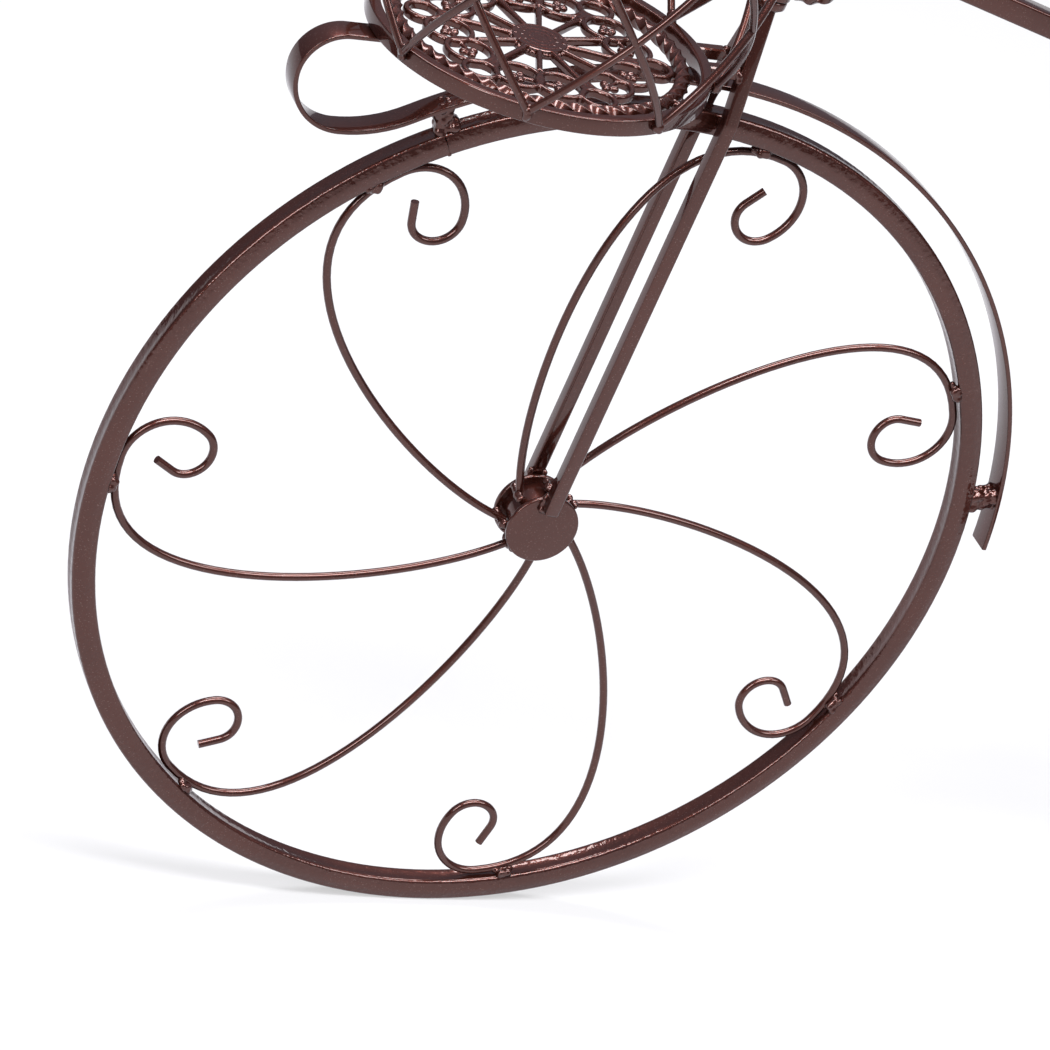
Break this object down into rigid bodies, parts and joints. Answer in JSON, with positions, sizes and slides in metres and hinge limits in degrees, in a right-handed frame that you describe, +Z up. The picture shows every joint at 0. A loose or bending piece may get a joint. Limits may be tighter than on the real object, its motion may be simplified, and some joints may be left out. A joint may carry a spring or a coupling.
{
  "type": "bicycle planter",
  "caption": "Welded steel planter in the form of a bicycle, with an ornamental wire basket for a flower pot over each scroll-spoked wheel and a fold-up stand.",
  "frame": {"origin": "on the ground, midway between the two wheels, in the middle plane", "axes": "+Z up, the front wheel and the handlebar towards -X, the rider's left towards -Y"},
  "size_m": [0.99, 0.2946, 0.6284],
  "materials": {
    "painted_steel": "gloss brown paint with a fine metallic flake",
    "painted_casting": "gloss brown metallic paint over a sand casting",
    "grip_rubber": "satin ribbed rubber, dark brown"
  },
  "bodies": {
    "frame": {"rear_rim": "painted_steel", "rear_hub_barrel": "painted_steel", "rear_hub_disc_left": "painted_steel", "rear_hub_disc_right": "painted_steel", "rear_spoke_1": "painted_steel", "rear_spoke_2": "painted_steel", "rear_spoke_3": "painted_steel", "rear_spoke_4": "painted_steel", "rear_spoke_5": "painted_steel", "rear_spoke_6": "painted_steel", "rear_spoke_7": "painted_steel", "rear_mudguard": "painted_steel", "rear_basket_hoop": "painted_steel", "rear_basket_ring": "painted_steel", "rear_basket_filigree": "painted_casting", "rear_basket_cage": "painted_steel", "rear_fork_leg_left": "painted_steel", "rear_fork_leg_right": "painted_steel", "rear_fork_crown": "painted_steel", "seat_tube": "painted_steel", "seat_post": "painted_steel", "saddle": "painted_steel", "head_tube": "painted_steel", "main_tube_front": "painted_steel", "main_tube_rear": "painted_steel", "gusset_arc_front": "painted_steel", "gusset_arc_rear": "painted_steel", "centre_post": "painted_steel", "bottom_bracket": "painted_steel", "chain_stay_left": "painted_steel", "chain_stay_right": "painted_steel"},
    "front_end": {"front_rim": "painted_steel", "front_hub_barrel": "painted_steel", "front_hub_disc_left": "painted_steel", "front_hub_disc_right": "painted_steel", "front_spoke_1": "painted_steel", "front_spoke_2": "painted_steel", "front_spoke_3": "painted_steel", "front_spoke_4": "painted_steel", "front_spoke_5": "painted_steel", "front_spoke_6": "painted_steel", "front_spoke_7": "painted_steel", "front_mudguard": "painted_steel", "front_basket_hoop": "painted_steel", "front_basket_ring": "painted_steel", "front_basket_filigree": "painted_casting", "front_basket_cage": "painted_steel", "front_fork_leg_left": "painted_steel", "front_fork_leg_right": "painted_steel", "front_fork_crown": "painted_steel", "steerer": "painted_steel", "headset_collar": "painted_steel", "handlebar": "painted_steel", "grip_left": "grip_rubber", "grip_right": "grip_rubber"},
    "crank": {"crank": "painted_steel"},
    "pedal_left": {"pedal_left": "painted_steel"},
    "pedal_right": {"pedal_right": "painted_steel"},
    "stand": {"stand": "painted_steel"}
  },
  "joints": [
    {"name": "steering", "type": "hinge", "parent": "frame", "child": "front_end", "pos_m": [-0.29728, 0, 0.20027], "axis": [0.1184, 0, 0.993], "range_deg": [-35, 35]},
    {"name": "crank_spin", "type": "hinge", "parent": "frame", "child": "crank", "pos_m": [0, 0, 0.19], "axis": [0, 1, 0], "continuous": true},
    {"name": "pedal_left_spin", "type": "hinge", "parent": "crank", "child": "pedal_left", "pos_m": [-0.04, -0.049, 0.19], "axis": [0, 1, 0], "continuous": true},
    {"name": "pedal_right_spin", "type": "hinge", "parent": "crank", "child": "pedal_right", "pos_m": [0.04, 0.049, 0.19], "axis": [0, 1, 0], "continuous": true},
    {"name": "stand_fold", "type": "hinge", "parent": "frame", "child": "stand", "pos_m": [0.295, 0, 0.2], "axis": [0, -1, 0], "range_deg": [0, 95]}
  ]
}
